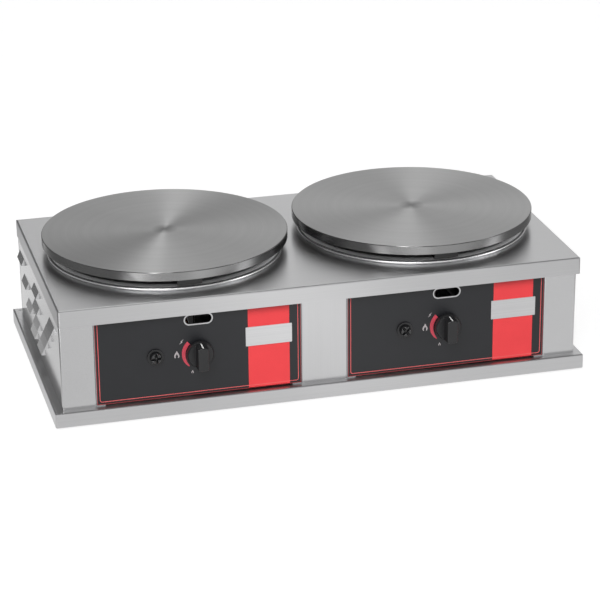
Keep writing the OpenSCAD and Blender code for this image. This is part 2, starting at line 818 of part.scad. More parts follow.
// Plug that turns in the tap, slotted for the spindle's tongue, with a full and a low port to its gas way
module tap_plug(side) {
    port_y = rail_y - plug_front;
    color("khaki") translate([panel_x(side), plug_front, knob_z]) difference() {
        along_y([0, 0, 0], plug_r, plug_len);
        along_y([0, -over, 0], spindle_r + bore_gap, plug_bore_len + over);
        translate([-tongue_t / 2 - tongue_gap, plug_bore_len - over, -tongue_w / 2 - tongue_gap])
            cube([tongue_t + 2 * tongue_gap, slot_len + over, tongue_w + 2 * tongue_gap]);
        along_y([0, port_y - way_r - over, 0], core_r, plug_len);
        for (port = [[full_turn, way_r], [low_turn, bleed_r]])
            translate([0, port_y, 0]) rotate([0, port[0], 0]) translate([0, 0, -plug_r - over])
                cylinder(r = port[1], h = plug_r + over);
    }
}

// Spindle: round shaft into the knob, flat tongue into the plug
module tap_spindle(side) {
    start = knob_back - knob_bore_len;
    color("silver") translate([panel_x(side), 0, knob_z]) {
        along_y([0, start, 0], spindle_r, spindle_round - start);
        translate([-tongue_t / 2, spindle_round - over, -tongue_w / 2])
            cube([tongue_t, tongue_len + over, tongue_w]);
    }
}

// Control knob: tapered skirt with a grip bar across it
module knob(side) {
    color("black") translate([panel_x(side), knob_back, knob_z]) rotate([90, 0, 0]) difference() {
        union() {
            rotate_extrude() polygon([
                [0, 0], [knob_r, 0], [knob_r, knob_skirt - 3], [knob_r - 2, knob_skirt], [0, knob_skirt]
            ]);
            intersection() {
                rotate_extrude() polygon([
                    [0, 0], [knob_r - 1, 0], [knob_r - 1, knob_skirt - 3],
                    [knob_r - bar_taper, knob_len - bar_chamfer],
                    [knob_r - bar_taper - bar_chamfer, knob_len], [0, knob_len]
                ]);
                translate([0, knob_r, 0]) rotate([90, 0, 0]) linear_extrude(2 * knob_r) polygon([
                    [-bar_w / 2, 0], [bar_w / 2, 0], [bar_w / 2, knob_len - bar_chamfer],
                    [bar_w / 2 - bar_chamfer, knob_len], [bar_chamfer - bar_w / 2, knob_len],
                    [-bar_w / 2, knob_len - bar_chamfer]
                ]);
            }
        }
        translate([0, 0, -over]) cylinder(r = spindle_r + run_gap, h = knob_bore_len + over);
    }
}

// Gas pipe from the tap up to the injector
module tap_pipe(side) {
    rise = mixer_front - hex_len - tap_outlet;
    color("peru") bent_tube([
        [panel_x(side), tap_outlet, knob_z],
        [panel_x(side), tap_outlet + rise / 3, knob_z],
        [station_x(side), tap_outlet + rise * 2 / 3, mixer_z],
        [station_x(side), tap_outlet + rise, mixer_z]
    ], pipe_r, 10, 16);
}

// Piezo igniter: bezel in front of the panel, barrel through it, terminal at the back
module igniter_body(side) {
    color("black") translate([panel_x(side) - igniter_dx, front_y, knob_z]) difference() {
        union() {
            along_y([0, -bezel_h, 0], bezel_r, bezel_h);
            along_y([0, -over, 0], barrel_r, barrel_len + over);
            along_y([0, barrel_len - over, 0], terminal_r, terminal_len + over);
        }
        along_y([0, -bezel_h - over, 0], button_r + button_gap, bore_len + over);
    }
}

module igniter_nut(side) {
    color("dimgray") translate([panel_x(side) - igniter_dx, panel_back, knob_z]) difference() {
        along_y([0, 0, 0], barrel_r + nut_wall, nut_t, 6);
        along_y([0, -over, 0], barrel_r + barrel_gap, nut_t + 2 * over);
    }
}

// Igniter button with a cross pressed into its face
module igniter_button(side) {
    groove = 3;
    depth = 1.5;
    color("black") translate([panel_x(side) - igniter_dx, front_y - bezel_h - button_out, knob_z])
        difference() {
            along_y([0, 0, 0], button_r, button_len);
            for (turn = [45, 135]) rotate([0, turn, 0])
                translate([-groove / 2, -over, -2 * button_r]) cube([groove, depth + over, 4 * button_r]);
        }
}

// Spark electrode: ceramic sleeve in the burner's ear with a wire bent towards an arm
module spark_electrode(side) {
    at = rod_xy(side, rod_side);
    wire = 1.2;
    lean = [-sin(ear_angle), cos(ear_angle)] * 6;
    color("ivory") {
        translate(concat(at, rod_low)) cylinder(r = electrode_r, h = arm_z - rod_low, $fn = 32);
        translate(concat(at, ear_z + ear_t)) cylinder(r = electrode_r + 1.5, h = 4, $fn = 32);
        bent_tube([concat(at, arm_z - over), concat(at, rod_tip), concat(at + lean, rod_tip)], wire, 3);
    }
}

// High-tension lead from the igniter's terminal to the electrode
module ignition_lead(side) {
    at = rod_xy(side, rod_side);
    from_x = panel_x(side) - igniter_dx;
    from_y = front_y + barrel_len + terminal_len;
    color("darkred") bent_tube([
        [from_x, from_y, knob_z], [from_x, from_y + lead_start, knob_z],
        concat(at, lead_z), concat(at, rod_low)
    ], lead_r, lead_bend);
}

// Thermocouple: probe in the burner's ear and its capillary to the tap
module thermocouple(side) {
    at = rod_xy(side, -rod_side);
    from = [panel_x(side) - thermo_x, thermo_y, knob_z];
    color("peru") {
        translate(concat(at, rod_low)) cylinder(r = probe_r, h = rod_tip - rod_low, $fn = 32);
        translate(concat(at, ear_z + ear_t)) cylinder(r = probe_r + 1.5, h = 3, $fn = 32);
        bent_tube([
            from, from - [capillary_start, 0, 0], concat(at, capillary_z), concat(at, rod_low + over)
        ], capillary_r, lead_bend);
    }
}

// Gas rail behind the panels, with a boss under each tap and a tee for the inlet pipe
module gas_rail() {
    rail_end = 40;
    end_x = bay_x + rail_end;
    rail_len = end_x + inlet_x + 2 * rail_r;
    color("gray") difference() {
        union() {
            translate([-end_x, rail_y, rail_z]) rotate([0, 90, 0]) cylinder(r = rail_r, h = rail_len);
            for (side = [left, right])
                translate([panel_x(side), rail_y, rail_z]) cylinder(r = rail_r - 1, h = rail_r + rail_boss);
            along_y([inlet_x, rail_y, rail_z], rail_r + 2, tee_len);
        }
        translate([tube_wall - end_x, rail_y, rail_z]) rotate([0, 90, 0])
            cylinder(r = rail_bore, h = rail_len - 2 * tube_wall);
        for (side = [left, right])
            translate([panel_x(side), rail_y, rail_z]) cylinder(r = way_r, h = rail_r + rail_boss + over);
        along_y([inlet_x, rail_y, rail_z], tee_bore, tee_len + over);
    }
}

module inlet_pipe() {
    start = rail_y + tee_len;
    run = wall_rear - inlet_hex - start;
    color("gray") difference() {
        along_y([inlet_x, start, rail_z], rail_r, run);
        along_y([inlet_x, start - over, rail_z], rail_bore, run + 2 * over);
    }
}

// Gas inlet: hexagon inside the back panel, hollow threaded spigot through it with a groove behind its nut
module gas_inlet() {
    groove = 2;
    nut_end = back_y + inlet_nut_t;
    start = wall_rear - inlet_hex;
    neck_r = inlet_r - inlet_groove;
    color("goldenrod") difference() {
        union() {
            along_y([inlet_x, start, rail_z], inlet_hex_r, inlet_hex, 6);
            along_y([inlet_x, wall_rear - over, rail_z], inlet_r, nut_end - wall_rear + over);
            along_y([inlet_x, nut_end - over, rail_z], neck_r, groove + 2 * over);
            along_y([inlet_x, nut_end + groove, rail_z], inlet_r, inlet_reach - inlet_nut_t - groove);
        }
        along_y([inlet_x, start - over, rail_z], neck_r - tube_wall,
            inlet_hex + sheet + inlet_reach + 2 * over);
    }
}

module inlet_nut() {
    color("goldenrod") difference() {
        along_y([inlet_x, back_y, rail_z], inlet_hex_r, inlet_nut_t, 6);
        along_y([inlet_x, back_y - over, rail_z], inlet_r + inlet_gap, inlet_nut_t + 2 * over);
    }
}

base_plinth();
foot(left, 0);  // foot_front_left
foot(right, 0);  // foot_front_right
foot(left, 1);  // foot_rear_left
foot(right, 1);  // foot_rear_right
foot_screws();
side_panel(left);  // side_panel_left
side_panel(right);  // side_panel_right
back_panel();
back_panel_screws();
centre_pillar();
deck_cover();
control_panel(left);  // control_panel_left
control_panel(right);  // control_panel_right
panel_film(left);  // panel_film_left
panel_film(right);  // panel_film_right
badge_plate(left);  // badge_plate_left
badge_plate(right);  // badge_plate_right
plate_collar(left);  // plate_collar_left
plate_collar(right);  // plate_collar_right
griddle_plate(left);  // griddle_plate_left
griddle_plate(right);  // griddle_plate_right
burner(left);  // burner_left
burner(right);  // burner_right
mixer_tube(left);  // mixer_tube_left
mixer_tube(right);  // mixer_tube_right
injector(left);  // injector_left
injector(right);  // injector_right
burner_stand(left);  // burner_stand_left
burner_stand(right);  // burner_stand_right
gas_tap(left);  // gas_tap_left
gas_tap(right);  // gas_tap_right
tap_bonnet(left);  // tap_bonnet_left
tap_bonnet(right);  // tap_bonnet_right
tap_plug(left);  // tap_plug_left
tap_plug(right);  // tap_plug_right
tap_spindle(left);  // tap_spindle_left
tap_spindle(right);  // tap_spindle_right
knob(left);  // knob_left
knob(right);  // knob_right
tap_pipe(left);  // tap_pipe_left
tap_pipe(right);  // tap_pipe_right
igniter_body(left);  // igniter_body_left
igniter_body(right);  // igniter_body_right
igniter_nut(left);  // igniter_nut_left
igniter_nut(right);  // igniter_nut_right
igniter_button(left);  // igniter_button_left
igniter_button(right);  // igniter_button_right
spark_electrode(left);  // spark_electrode_left
spark_electrode(right);  // spark_electrode_right
ignition_lead(left);  // ignition_lead_left
ignition_lead(right);  // ignition_lead_right
thermocouple(left);  // thermocouple_left
thermocouple(right);  // thermocouple_right
gas_rail();
inlet_pipe();
gas_inlet();
inlet_nut();
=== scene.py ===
"""Looks of the double gas crepe maker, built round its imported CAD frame. Metres, front towards -Y."""
import math

import bmesh
import bpy
from mathutils import Matrix, Vector


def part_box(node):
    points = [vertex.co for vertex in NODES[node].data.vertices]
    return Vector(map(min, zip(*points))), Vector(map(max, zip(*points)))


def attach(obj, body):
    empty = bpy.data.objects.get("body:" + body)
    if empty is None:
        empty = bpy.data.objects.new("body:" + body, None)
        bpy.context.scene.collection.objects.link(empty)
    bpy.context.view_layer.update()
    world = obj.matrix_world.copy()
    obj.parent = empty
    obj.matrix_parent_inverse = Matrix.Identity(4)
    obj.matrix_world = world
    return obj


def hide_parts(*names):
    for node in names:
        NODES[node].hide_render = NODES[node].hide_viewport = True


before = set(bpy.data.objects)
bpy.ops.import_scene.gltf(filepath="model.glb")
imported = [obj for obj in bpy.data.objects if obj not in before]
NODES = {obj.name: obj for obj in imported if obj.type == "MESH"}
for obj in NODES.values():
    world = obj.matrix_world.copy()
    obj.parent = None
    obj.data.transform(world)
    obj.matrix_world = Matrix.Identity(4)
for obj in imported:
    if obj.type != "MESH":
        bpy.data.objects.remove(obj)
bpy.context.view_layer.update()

MM = 0.001
SIDES = (("left", -1), ("right", 1))

# Camera

CAMERA_AT = (-0.89864, -3.53944, 1.53848)
CAMERA_RIGHT = (0.967187, -0.253882, -0.009649)
CAMERA_FORWARD = (0.232433, 0.899531, -0.369892)
CAMERA_REACH = 60
SENSOR = 36.0
FOCAL_PX = 2351.74
FRAME_PX = 600


def make_camera():
    """Camera at the photograph's viewpoint."""
    data = bpy.data.cameras.new("camera")
    data.sensor_fit = "HORIZONTAL"
    data.sensor_width = SENSOR
    data.lens = FOCAL_PX * SENSOR / FRAME_PX
    data.clip_end = CAMERA_REACH
    camera = bpy.data.objects.new("camera", data)
    right = Vector(CAMERA_RIGHT)
    forward = Vector(CAMERA_FORWARD)
    up = right.cross(forward)
    turn = Matrix((right, up, -forward)).transposed()
    camera.matrix_world = Matrix.Translation(CAMERA_AT) @ turn.to_4x4()
    bpy.context.scene.collection.objects.link(camera)
    bpy.context.scene.camera = camera


make_camera()

# Node shortcuts: the range of a noise that is used, narrow and wide, and the samples of a rounded edge

NOISE_CORE = (0.35, 0.65)
NOISE_WIDE = (0.3, 0.7)
BEVEL_SAMPLES = 6


class Nodes:
    """Shortcuts for the nodes of one tree."""

    def __init__(self, tree):
        self.tree = tree

    def node(self, kind, settings=None, **inputs):
        node = self.tree.nodes.new("ShaderNode" + kind)
        for key, value in (settings or {}).items():
            setattr(node, key, value)
        for key, value in inputs.items():
            self.feed(node.inputs[key.replace("_", " ")], value)
        return node

    def feed(self, socket, value):
        """Links a socket to another one, or sets it to a plain value."""
        if isinstance(value, bpy.types.NodeSocket):
            self.tree.links.new(value, socket)
        else:
            socket.default_value = value

    def math(self, operation, a, b=0.0):
        made = self.node("Math", {"operation": operation})
        self.feed(made.inputs[0], a)
        self.feed(made.inputs[1], b)
        return made.outputs["Value"]

    def vector(self, operation, a, b=None):
        made = self.node("VectorMath", {"operation": operation})
        self.feed(made.inputs[0], a)
        if b is not None:
            self.feed(made.inputs[1], b)
        return made.outputs

    def parts(self, vector):
        """The X, Y and Z of a vector."""
        return self.node("SeparateXYZ", Vector=vector).outputs

    def span(self, value, low, high, to_low, to_high, smooth=False):
        """A value mapped from one range to another, held at the ends."""
        made = self.node(
            "MapRange", {"interpolation_type": "SMOOTHSTEP"} if smooth else None,
            From_Min=low, From_Max=high, To_Min=to_low, To_Max=to_high,
        )
        self.feed(made.inputs["Value"], value)
        return made.outputs["Result"]

    def hump(self, off, half, edge, bright):
        """Brightness that falls off past half a width, the more sharply the higher the edge number."""
        share = self.math("ABSOLUTE", self.math("DIVIDE", off, half))
        return self.math("DIVIDE", bright, self.math("ADD", self.math("POWER", share, edge), 1.0))

    def blend(self, *shares):
        """Weighted sum of values."""
        total = None
        for value, share in shares:
            part = self.math("MULTIPLY", value, share)
            total = part if total is None else self.math("ADD", total, part)
        return total


class Look(Nodes):
    """A principled material."""

    def __init__(self, name, **sockets):
        self.mat = bpy.data.materials.new(name)
        self.mat.use_nodes = True
        super().__init__(self.mat.node_tree)
        self.bsdf = self.tree.nodes["Principled BSDF"]
        for socket, value in sockets.items():
            self.shade(socket.replace("_", " "), value)

    def shade(self, socket, value):
        self.feed(self.bsdf.inputs[socket], value)

    def coords(self):
        return self.node("TexCoord").outputs["Object"]

    def scaled(self, vector, scale):
        return self.node("Mapping", Vector=vector, Scale=scale).outputs["Vector"]

    def noise(self, vector, scale, detail=4.0, rough=0.6):
        made = self.node("TexNoise", Vector=vector, Scale=scale, Detail=detail, Roughness=rough)
        return made.outputs["Fac"]

    def noise_1d(self, value, scale, detail=4.0, rough=0.6):
        settings = {"noise_dimensions": "1D"}
        made = self.node("TexNoise", settings, W=value, Scale=scale, Detail=detail, Roughness=rough)
        return made.outputs["Fac"]

    def mix(self, factor, a, b):
        """Colour a where the factor is 0, b where it is 1."""
        made = self.node("Mix", {"data_type": "RGBA"})
        self.feed(made.inputs["Factor"], factor)
        self.feed(made.inputs[6], a)
        self.feed(made.inputs[7], b)
        return made.outputs[2]

    def shade_by(self, blend, low, high, rough, rougher=None):
        """Colour between two, and a range of roughness, both from one noise; rougher is added to that."""
        self.shade("Base Color", self.mix(self.span(blend, *NOISE_CORE, 0, 1), low, high))
        grain = self.span(blend, *NOISE_WIDE, *rough)
        self.shade("Roughness", self.math("ADD", grain, rougher) if rougher else grain)

    def bump(self, height, strength, distance, round_edge=0.0):
        made = self.node("Bump", Height=height, Strength=strength, Distance=distance)
        if round_edge:
            soft = self.node("Bevel", {"samples": BEVEL_SAMPLES}, Radius=round_edge)
            self.feed(made.inputs["Normal"], soft.outputs["Normal"])
        self.shade("Normal", made.outputs["Normal"])


def rgb(value, tint=(1.0, 1.0, 1.0)):
    return (value * tint[0], value * tint[1], value * tint[2], 1.0)


# Brushed sheet: scratches per metre across and along the brush, and the share of scratches and clouds

ALONG_X = (1.0, 0.0, 0.0)
ALONG_Y = (0.0, 1.0, 0.0)
ALONG_Z = (0.0, 0.0, 1.0)
SCRATCH_ACROSS = 900.0
SCRATCH_ALONG = 3.0
SCRATCH_SHARE = 0.7
CLOUD_SHARE = 0.3
CLOUD_SCALE = 7.0
SCRATCH_BUMP = 0.25
COOL = (1, 1, 1.01)

# Lean that keeps a brush off a face's normal, and how far a face looks sideways before its brush turns to Y

BRUSH_LEAN = 0.02
SIDEWAYS = 0.7

# Satin finish of the collars, on the flank above their bead

SATIN_ROUGH = 0.3
SATIN_FADE = 0.5 * MM
FLANK_H = 4 * MM
BEAD_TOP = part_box("plate_collar_left")[1].z - FLANK_H


def brushed_steel(name, along, low, high, rough=(0.24, 0.36), depth=0.02, brush=0.6, satin_above=None):
    """Sheet with fine scratches along one axis, gloss drawn out across them, and a soft cloudiness."""
    look = Look(name, Metallic=1.0, Anisotropic=brush)
    at = look.coords()
    grain = [SCRATCH_ACROSS - (SCRATCH_ACROSS - SCRATCH_ALONG) * share for share in along]
    fine = look.noise(look.scaled(at, grain), 1.0, detail=6.0, rough=0.75)
    facing = look.node("NewGeometry").outputs["Normal"]
    if along == ALONG_X:
        turned = look.math("GREATER_THAN", look.math("ABSOLUTE", look.parts(facing)["X"]), SIDEWAYS)
        brushed = look.mix(turned, (*ALONG_X, 1), (*ALONG_Y, 1))
    else:
        brushed = [share + BRUSH_LEAN for share in along]
    look.shade("Tangent", look.vector("CROSS_PRODUCT", facing, brushed)["Vector"])
    cloud = look.noise(at, CLOUD_SCALE, detail=3.0, rough=0.5)
    blend = look.blend((fine, SCRATCH_SHARE), (cloud, CLOUD_SHARE))
    satin = None
    if satin_above:
        satin = look.span(look.parts(at)["Z"], satin_above, satin_above + SATIN_FADE, 0.0, SATIN_ROUGH)
    look.shade_by(blend, rgb(low, COOL), rgb(high, COOL), rough, satin)
    look.bump(fine, SCRATCH_BUMP, depth * MM)
    return look.mat


# Turned plates: thickness, tool marks and bands per metre, dark core, smoother rim whose darker grey is
# painted shade, and dark underside

PLATE_T = 15 * MM
MARKS = 900.0
MARK_BANDS = 60.0
IRON_CLOUDS = 9.0
IRON = (0.34, 0.42)
IRON_ROUGH = (0.27, 0.35)
CORE_GREY = 0.13
CORE_DEPTH = 0.8
CORE_R = (3 * MM, 22 * MM)
RIM_PAINTED_SHADE_GREY = 0.30
RIM_R = (199.0 * MM, 199.4 * MM)
RIM_SMOOTHER = 0.13
UNDER_GREY = 0.07
UNDER_FADE = (0.1 * MM, 0.4 * MM)
MARK_BUMP = 0.15
MARK_DEPTH = 0.02 * MM


def turned_plate(name, low, high):
    """Iron turned on a lathe: concentric tool marks, darker at the very middle, painted shade on the rim,
    rough and dark underneath.
    """
    centre = (low + high) / 2
    underside = high.z - PLATE_T - centre.z
    look = Look(name, Metallic=1.0, Anisotropic=0.9, Anisotropic_Rotation=0.25)
    at = look.vector("SUBTRACT", look.coords(), centre)["Vector"]
    flat = look.vector("MULTIPLY", at, (1, 1, 0))["Vector"]
    radius = look.vector("LENGTH", flat)["Value"]
    marks = look.noise_1d(radius, MARKS, detail=3.0, rough=0.7)
    bands = look.noise_1d(radius, MARK_BANDS, detail=2.0, rough=0.5)
    cloud = look.noise(look.coords(), IRON_CLOUDS)
    blend = look.blend((marks, 0.5), (bands, 0.3), (cloud, 0.2))
    iron = look.mix(look.span(blend, *NOISE_CORE, 0, 1), rgb(IRON[0]), rgb(IRON[1]))
    top = look.mix(look.span(radius, *CORE_R, CORE_DEPTH, 0.0), iron, rgb(CORE_GREY))
    rim = look.span(radius, *RIM_R, 0.0, 1.0)
    under = look.span(look.parts(at)["Z"], *(underside + fade for fade in UNDER_FADE), 1.0, 0.0)
    # The rim gets a darker grey than the top: painted shade that dims its reflections.
    look.shade("Base Color", look.mix(under, look.mix(rim, top, rgb(RIM_PAINTED_SHADE_GREY)), rgb(UNDER_GREY)))
    grain = look.span(blend, *NOISE_WIDE, *IRON_ROUGH)
    look.shade("Roughness", look.math("SUBTRACT", grain, look.math("MULTIPLY", rim, RIM_SMOOTHER)))
    look.bump(marks, MARK_BUMP, MARK_DEPTH)
    tangent = look.node("Tangent", {"direction_type": "RADIAL", "axis": "Z"})
    look.shade("Tangent", tangent.outputs["Tangent"])
    return look.mat


# Even materials: how much coarser than the grain the slow drift is, and the strength of the bump

DRIFT_SCALE = 0.04
GRAIN_BUMP = 0.4


def plain(name, low, high, rough, scale, metallic=0.0, depth=0.0, round_edge=0.0, **sockets):
    """Even material with a fine grain: two close colours, a range of roughness and a shallow bump."""
    look = Look(name, Metallic=metallic, **sockets)
    grain = look.noise(look.coords(), scale, detail=5.0)
    drift = look.noise(look.coords(), scale * DRIFT_SCALE, detail=3.0, rough=0.5)
    look.shade_by(look.blend((grain, 0.5), (drift, 0.5)), (*low, 1), (*high, 1), rough)
    if depth:
        look.bump(grain, GRAIN_BUMP, depth * MM, round_edge * MM)
    return look.mat


M_STEEL_X = brushed_steel("steel_brushed_x", ALONG_X, 0.55, 0.61, rough=(0.27, 0.35), depth=0.012)
M_STEEL_Y = brushed_steel("steel_brushed_y", ALONG_Y, 0.54, 0.62, rough=(0.12, 0.20))
M_STEEL_Z = brushed_steel("steel_brushed_z", ALONG_Z, 0.565, 0.60, rough=(0.27, 0.31), depth=0.005)
M_POLISHED = brushed_steel(
    "steel_polished", ALONG_Z, 0.76, 0.86, rough=(0.20, 0.30), depth=0.005, satin_above=BEAD_TOP,
)
M_BADGE = brushed_steel("badge_silver", ALONG_X, 0.62, 0.72, rough=(0.3, 0.4))

INK_ROUGH = (0.36, 0.46)
PALE_ROUGH = (0.4, 0.5)
INK_GRAIN = 700.0
M_FILM = plain(
    "film_charcoal", (0.0086, 0.0090, 0.0110), (0.0112, 0.0117, 0.0140), (0.34, 0.46), 900.0, depth=0.01,
)
M_RED = plain("print_red", (0.80, 0.050, 0.058), (0.86, 0.058, 0.066), INK_ROUGH, INK_GRAIN, depth=0.01)
M_ROSE = plain("print_rose", (0.54, 0.058, 0.088), (0.60, 0.068, 0.100), INK_ROUGH, INK_GRAIN, depth=0.01)
M_DARK_RED = plain("print_dark_red", (0.30, 0.030, 0.034), (0.36, 0.036, 0.040), INK_ROUGH, INK_GRAIN)
M_LINE = plain("print_line", (0.80, 0.12, 0.12), (0.86, 0.16, 0.16), INK_ROUGH, INK_GRAIN)
M_PALE = plain("print_pale", (0.42, 0.38, 0.39), (0.50, 0.46, 0.47), PALE_ROUGH, INK_GRAIN)
M_WHITE = plain("print_white", (0.78, 0.78, 0.77), (0.84, 0.84, 0.83), PALE_ROUGH, INK_GRAIN)

GLOSS_BLACK = ((0.006, 0.006, 0.007), (0.010, 0.010, 0.011))
M_KNOB = plain(
    "knob_black", (0.010, 0.010, 0.011), (0.016, 0.016, 0.017), (0.34, 0.46), 1600.0,
    depth=0.02, round_edge=0.8,
)
M_GLOSS = plain("igniter_black", *GLOSS_BLACK, (0.10, 0.18), 900.0, depth=0.004, round_edge=0.6)
M_BUTTON = plain(
    "igniter_cap_black", *GLOSS_BLACK, (0.10, 0.16), 900.0, depth=0.003,
    Specular_IOR_Level=0.6, Coat_Weight=0.4, Coat_Roughness=0.06,
)

M_BRASS = plain("brass", (0.55, 0.40, 0.16), (0.68, 0.50, 0.22), (0.25, 0.4), 300.0, 1.0, 0.02)
M_COPPER = plain("copper", (0.58, 0.27, 0.16), (0.70, 0.36, 0.22), (0.25, 0.4), 200.0, 1.0, 0.02)
M_BURNER = plain("burner_steel", (0.07, 0.06, 0.055), (0.15, 0.13, 0.12), (0.4, 0.6), 120.0, 1.0, 0.05)
M_CAST = plain("cast_iron", (0.06, 0.06, 0.062), (0.11, 0.11, 0.112), (0.5, 0.7), 500.0, 0.7, 0.15)
M_ZINC = plain("zinc_plate", (0.50, 0.50, 0.47), (0.60, 0.60, 0.58), (0.3, 0.45), 180.0, 1.0, 0.02)
# Zinc-plated parts inside the case, coloured near black: painted shade that stands in for the dark inside the
# case seen through the view ports.
M_ZINC_PAINTED_SHADE = plain(
    "zinc_painted_shade", (0.035, 0.034, 0.032), (0.06, 0.058, 0.055), (0.5, 0.65), 180.0, 0.6, 0.03,
)
M_RUBBER = plain("rubber", (0.02, 0.02, 0.02), (0.035, 0.035, 0.035), (0.6, 0.8), 900.0, depth=0.05)
M_CERAMIC = plain("ceramic", (0.74, 0.71, 0.65), (0.82, 0.80, 0.75), (0.35, 0.5), 700.0, depth=0.01)
M_SILICONE = plain("silicone", (0.28, 0.035, 0.03), (0.36, 0.05, 0.04), (0.45, 0.6), 600.0, depth=0.02)

# Looks of the carried-over nodes, by the longest name that a node starts with

NODE_LOOKS = {
    "base_plinth": M_STEEL_X, "deck_cover": M_STEEL_X, "back_panel": M_STEEL_X, "centre_pillar": M_STEEL_Z,
    "side_panel": M_STEEL_Y, "control_panel": M_STEEL_X, "foot_screws": M_ZINC, "foot": M_RUBBER,
    "back_panel_screws": M_ZINC, "panel_film": M_FILM, "badge_plate": M_BADGE, "plate_collar": M_POLISHED,
    "burner_stand": M_ZINC_PAINTED_SHADE, "burner": M_BURNER, "mixer_tube": M_CAST, "injector": M_BRASS,
    "gas_tap": M_BRASS, "tap_bonnet": M_BRASS, "tap_plug": M_BRASS, "tap_spindle": M_ZINC, "knob": M_KNOB,
    "tap_pipe": M_COPPER, "igniter_body": M_GLOSS, "igniter_nut": M_KNOB, "igniter_button": M_GLOSS,
    "spark_electrode": M_CERAMIC, "ignition_lead": M_SILICONE, "thermocouple": M_COPPER,
    "gas_rail": M_ZINC_PAINTED_SHADE, "inlet_pipe": M_ZINC_PAINTED_SHADE, "gas_inlet": M_BRASS, "inlet_nut": M_BRASS,
}


def dress_nodes():
    names = sorted(NODE_LOOKS, key=len, reverse=True)
    for node, obj in NODES.items():
        if node.startswith("griddle_plate"):
            mat = turned_plate("turned_" + node, *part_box(node))
        else:
            mat = NODE_LOOKS[next(n for n in names if node.startswith(n))]
        obj.data.materials.clear()
        obj.data.materials.append(mat)


dress_nodes()

# Pieces


def add_piece(name, bm, mat, body):
    """Turns a built mesh into a piece that rides on a body."""
    bmesh.ops.recalc_face_normals(bm, faces=bm.faces)
    mesh = bpy.data.meshes.new(name)
    bm.to_mesh(mesh)
    bm.free()
    obj = bpy.data.objects.new(name, mesh)
    bpy.context.scene.collection.objects.link(obj)
    obj.data.materials.append(mat)
    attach(obj, body)
    return obj


# Printed panel, drawn about the knob's axis

FILM_LOW, FILM_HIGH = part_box("panel_film_left")
FILM_FACE = FILM_LOW.y
KNOB_LOW, KNOB_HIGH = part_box("knob_left")
AXIS_Z = (KNOB_LOW.z + KNOB_HIGH.z) / 2
AXIS_X = abs(KNOB_LOW.x + KNOB_HIGH.x) / 2
PRINT_T = 0.1 * MM
FILM_HALF = (FILM_HIGH.x - FILM_LOW.x) / 2
FILM_BOTTOM = FILM_LOW.z - AXIS_Z
FILM_TOP = FILM_HIGH.z - AXIS_Z
STRIPE_AT = 112.5 * MM
STRIPE_W = 67 * MM

# Lines round the film: inset from its edge, width and corner radius

BORDER_LINE = (4.3 * MM, 1 * MM, 4 * MM)
EDGE_LINE = (0.2 * MM, 0.9 * MM, 1.5 * MM)
LEAST_CORNER = 0.2 * MM
CORNER_STEPS = 8

# Curved wedge beside the knob: its two angles in degrees, mean radius at both ends, and thickness

CRESCENT_FROM = 133
CRESCENT_TO = 235
CRESCENT_R = 24.4 * MM
CRESCENT_TIP_R = 27.0 * MM
CRESCENT_T = 6.5 * MM
CRESCENT_STEPS = 36

# Dial marks: outlines in millimetres, with the place, scale and turn of each

SPARK = [
    (0.9, 5.4), (-1.7, -0.4), (-0.2, 0.1), (-1.2, -5.4), (1.7, 0.7), (0.3, 0.2),
]
FLAME = [
    (0.2, 6.0), (-1.2, 3.4), (-2.8, 1.2), (-4.0, -1.4), (-4.2, -3.6), (-3.2, -6.0), (-1.6, -6.0),
    (-2.2, -3.8), (-1.4, -1.6), (0.0, 0.8), (1.4, -1.6), (2.2, -3.8), (1.6, -6.0), (3.2, -6.0),
    (4.2, -3.6), (4.0, -1.4), (2.8, 1.2), (1.3, 3.4),
]
ICONS = (
    ("spark", SPARK, (-28.0, 20.5), 1.0, -30),
    ("flame", FLAME, (-36.0, 0.5), 1.0, 0),
    ("low_flame", FLAME, (-11.5, -31.5), 0.46, 0),
)


def prism(outline, back, front, centre):
    """Closed prism on a panel: an outline of (right, up) points about a centre, between two depths in Y."""
    bm = bmesh.new()
    rear = [bm.verts.new((centre[0] + u, back, centre[1] + v)) for u, v in outline]
    fore = [bm.verts.new((centre[0] + u, front, centre[1] + v)) for u, v in outline]
    bm.faces.new(fore)
    bm.faces.new(rear[::-1])
    count = len(outline)
    for i in range(count):
        k = (i + 1) % count
        bm.faces.new((fore[i], rear[i], rear[k], fore[k]))
    return bm


def rectangle(u0, v0, u1, v1):
    return [(u0, v0), (u1, v0), (u1, v1), (u0, v1)]


def polar(radius, angle):
    """Point at an angle in radians."""
    return radius * math.cos(angle), radius * math.sin(angle)


def corner_arc(radius, start, end, centre):
    points = []
    for i in range(CORNER_STEPS + 1):
        u, v = polar(radius, math.radians(start + (end - start) * i / CORNER_STEPS))
        points.append((centre[0] + u, centre[1] + v))
    return points


def frame_line(inset, width, corner):
    """Line that runs down one side of the film, along its foot and up the other side."""
    outer = FILM_HALF - inset
    low = FILM_BOTTOM + inset
    inside = outer - width
    inner_corner = max(corner - width, LEAST_CORNER)
    inner_low = low + width + inner_corner
    path = [(-outer, FILM_TOP)]
    path += corner_arc(corner, 180, 270, (-outer + corner, low + corner))
    path += corner_arc(corner, 270, 360, (outer - corner, low + corner))
    path += [(outer, FILM_TOP), (inside, FILM_TOP)]
    path += corner_arc(inner_corner, 360, 270, (inside - inner_corner, inner_low))
    path += corner_arc(inner_corner, 270, 180, (-inside + inner_corner, inner_low))
    path += [(-inside, FILM_TOP)]
    return path


def crescent():
    """Curved wedge: blunt at its upper end, a fine point at its lower end."""
    outer = []
    inner = []
    for i in range(CRESCENT_STEPS):
        share = i / CRESCENT_STEPS
        angle = math.radians(CRESCENT_FROM + (CRESCENT_TO - CRESCENT_FROM) * share)
        middle = CRESCENT_R + (CRESCENT_TIP_R - CRESCENT_R) * share ** 2
        half = CRESCENT_T / 2 * math.sqrt(1 - share ** 2)
        outer.append(polar(middle + half, angle))
        inner.append(polar(middle - half, angle))
    return outer + [polar(CRESCENT_TIP_R, math.radians(CRESCENT_TO))] + inner[::-1]


